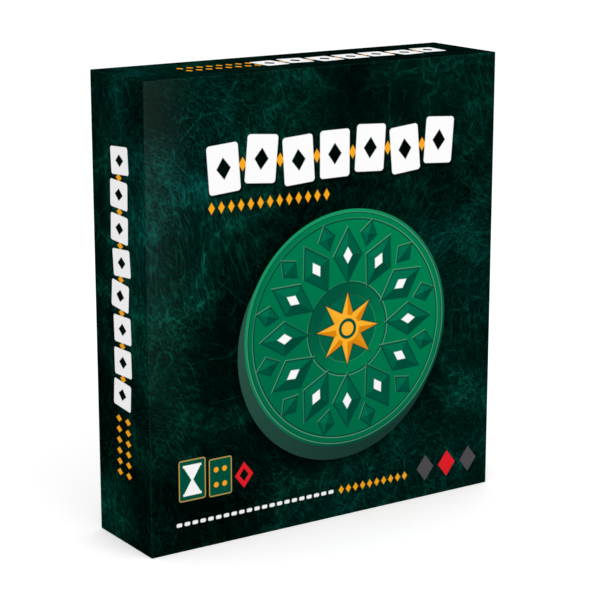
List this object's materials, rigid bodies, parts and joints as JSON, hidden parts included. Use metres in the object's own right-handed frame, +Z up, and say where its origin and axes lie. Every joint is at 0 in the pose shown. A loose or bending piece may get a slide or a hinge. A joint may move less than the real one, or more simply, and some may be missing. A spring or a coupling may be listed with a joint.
{
  "type": "word board game in a box",
  "caption": "Boxed word game: telescope box with lift-off lid, formed tray, turntable with letter tile wells, stored letter tiles and a rules booklet.",
  "frame": {"origin": "middle of the standing box's footprint, on the surface that it stands on", "axes": "+Z up along the box's height, front of the lid faces -Y, +X to the right seen from the front"},
  "size_m": [0.24, 0.06, 0.27],
  "materials": {
    "greyboard": "matte",
    "stay_paper": "matte",
    "lid_print": "satin",
    "base_print": "satin",
    "tray_plastic": "satin",
    "stand_green": "satin",
    "foot_green": "satin",
    "glide_white": "satin",
    "pad_rubber": "matte",
    "screw_steel": "satin",
    "cap_green": "satin",
    "tile_green": "satin",
    "rules_paper": "satin"
  },
  "bodies": {
    "base": {"base_board": "greyboard", "base_corner_stays": "stay_paper", "base_wrap": "base_print"},
    "lid": {"lid_board": "greyboard", "lid_corner_stays": "stay_paper", "lid_wrap": "lid_print"},
    "tray": {"storage_tray": "tray_plastic"},
    "stand": {"stand_foot": "foot_green", "foot_pads": "pad_rubber", "glide_ring": "glide_white", "spindle_washer": "screw_steel"},
    "deck": {"stand_deck": "stand_green", "deck_plate": "foot_green", "deck_screws": "screw_steel", "centre_cap": "cap_green", "spindle_screw": "screw_steel"},
    "well_tiles": {"stand_tiles": "tile_green"},
    "stored_tiles": {"tile_row_1": "tile_green", "tile_row_2": "tile_green", "tile_row_3": "tile_green"},
    "rules": {"rules_cover": "rules_paper", "rules_pages": "rules_paper", "rules_staples": "screw_steel"}
  },
  "joints": [
    {"name": "lid_lift", "type": "slide", "parent": "base", "child": "lid", "axis": [0, -1, 0], "range_m": [0, 0.21]},
    {"name": "rules_lift", "type": "slide", "parent": "base", "child": "rules", "axis": [0, -1, 0], "range_m": [0, 0.147]},
    {"name": "tray_lift", "type": "slide", "parent": "base", "child": "tray", "axis": [0, -1, 0], "range_m": [0, 0.0672]},
    {"name": "stored_tiles_lift", "type": "slide", "parent": "tray", "child": "stored_tiles", "axis": [0, -1, 0], "range_m": [0, 0.0294]},
    {"name": "stand_lift", "type": "slide", "parent": "tray", "child": "stand", "axis": [0, -1, 0], "range_m": [0, 0.0504]},
    {"name": "deck_spin", "type": "hinge", "parent": "stand", "child": "deck", "pos_m": [0, 0, 0.17176], "axis": [0, -1, 0], "continuous": true},
    {"name": "well_tiles_lift", "type": "slide", "parent": "deck", "child": "well_tiles", "axis": [0, -1, 0], "range_m": [0, 0.0126]}
  ],
  "couplings": [
    {"joint": "rules_lift", "follows": "lid_lift", "ratio": 0.7},
    {"joint": "tray_lift", "follows": "lid_lift", "ratio": 0.32},
    {"joint": "stand_lift", "follows": "lid_lift", "ratio": 0.24},
    {"joint": "stored_tiles_lift", "follows": "lid_lift", "ratio": 0.14},
    {"joint": "well_tiles_lift", "follows": "lid_lift", "ratio": 0.06}
  ]
}
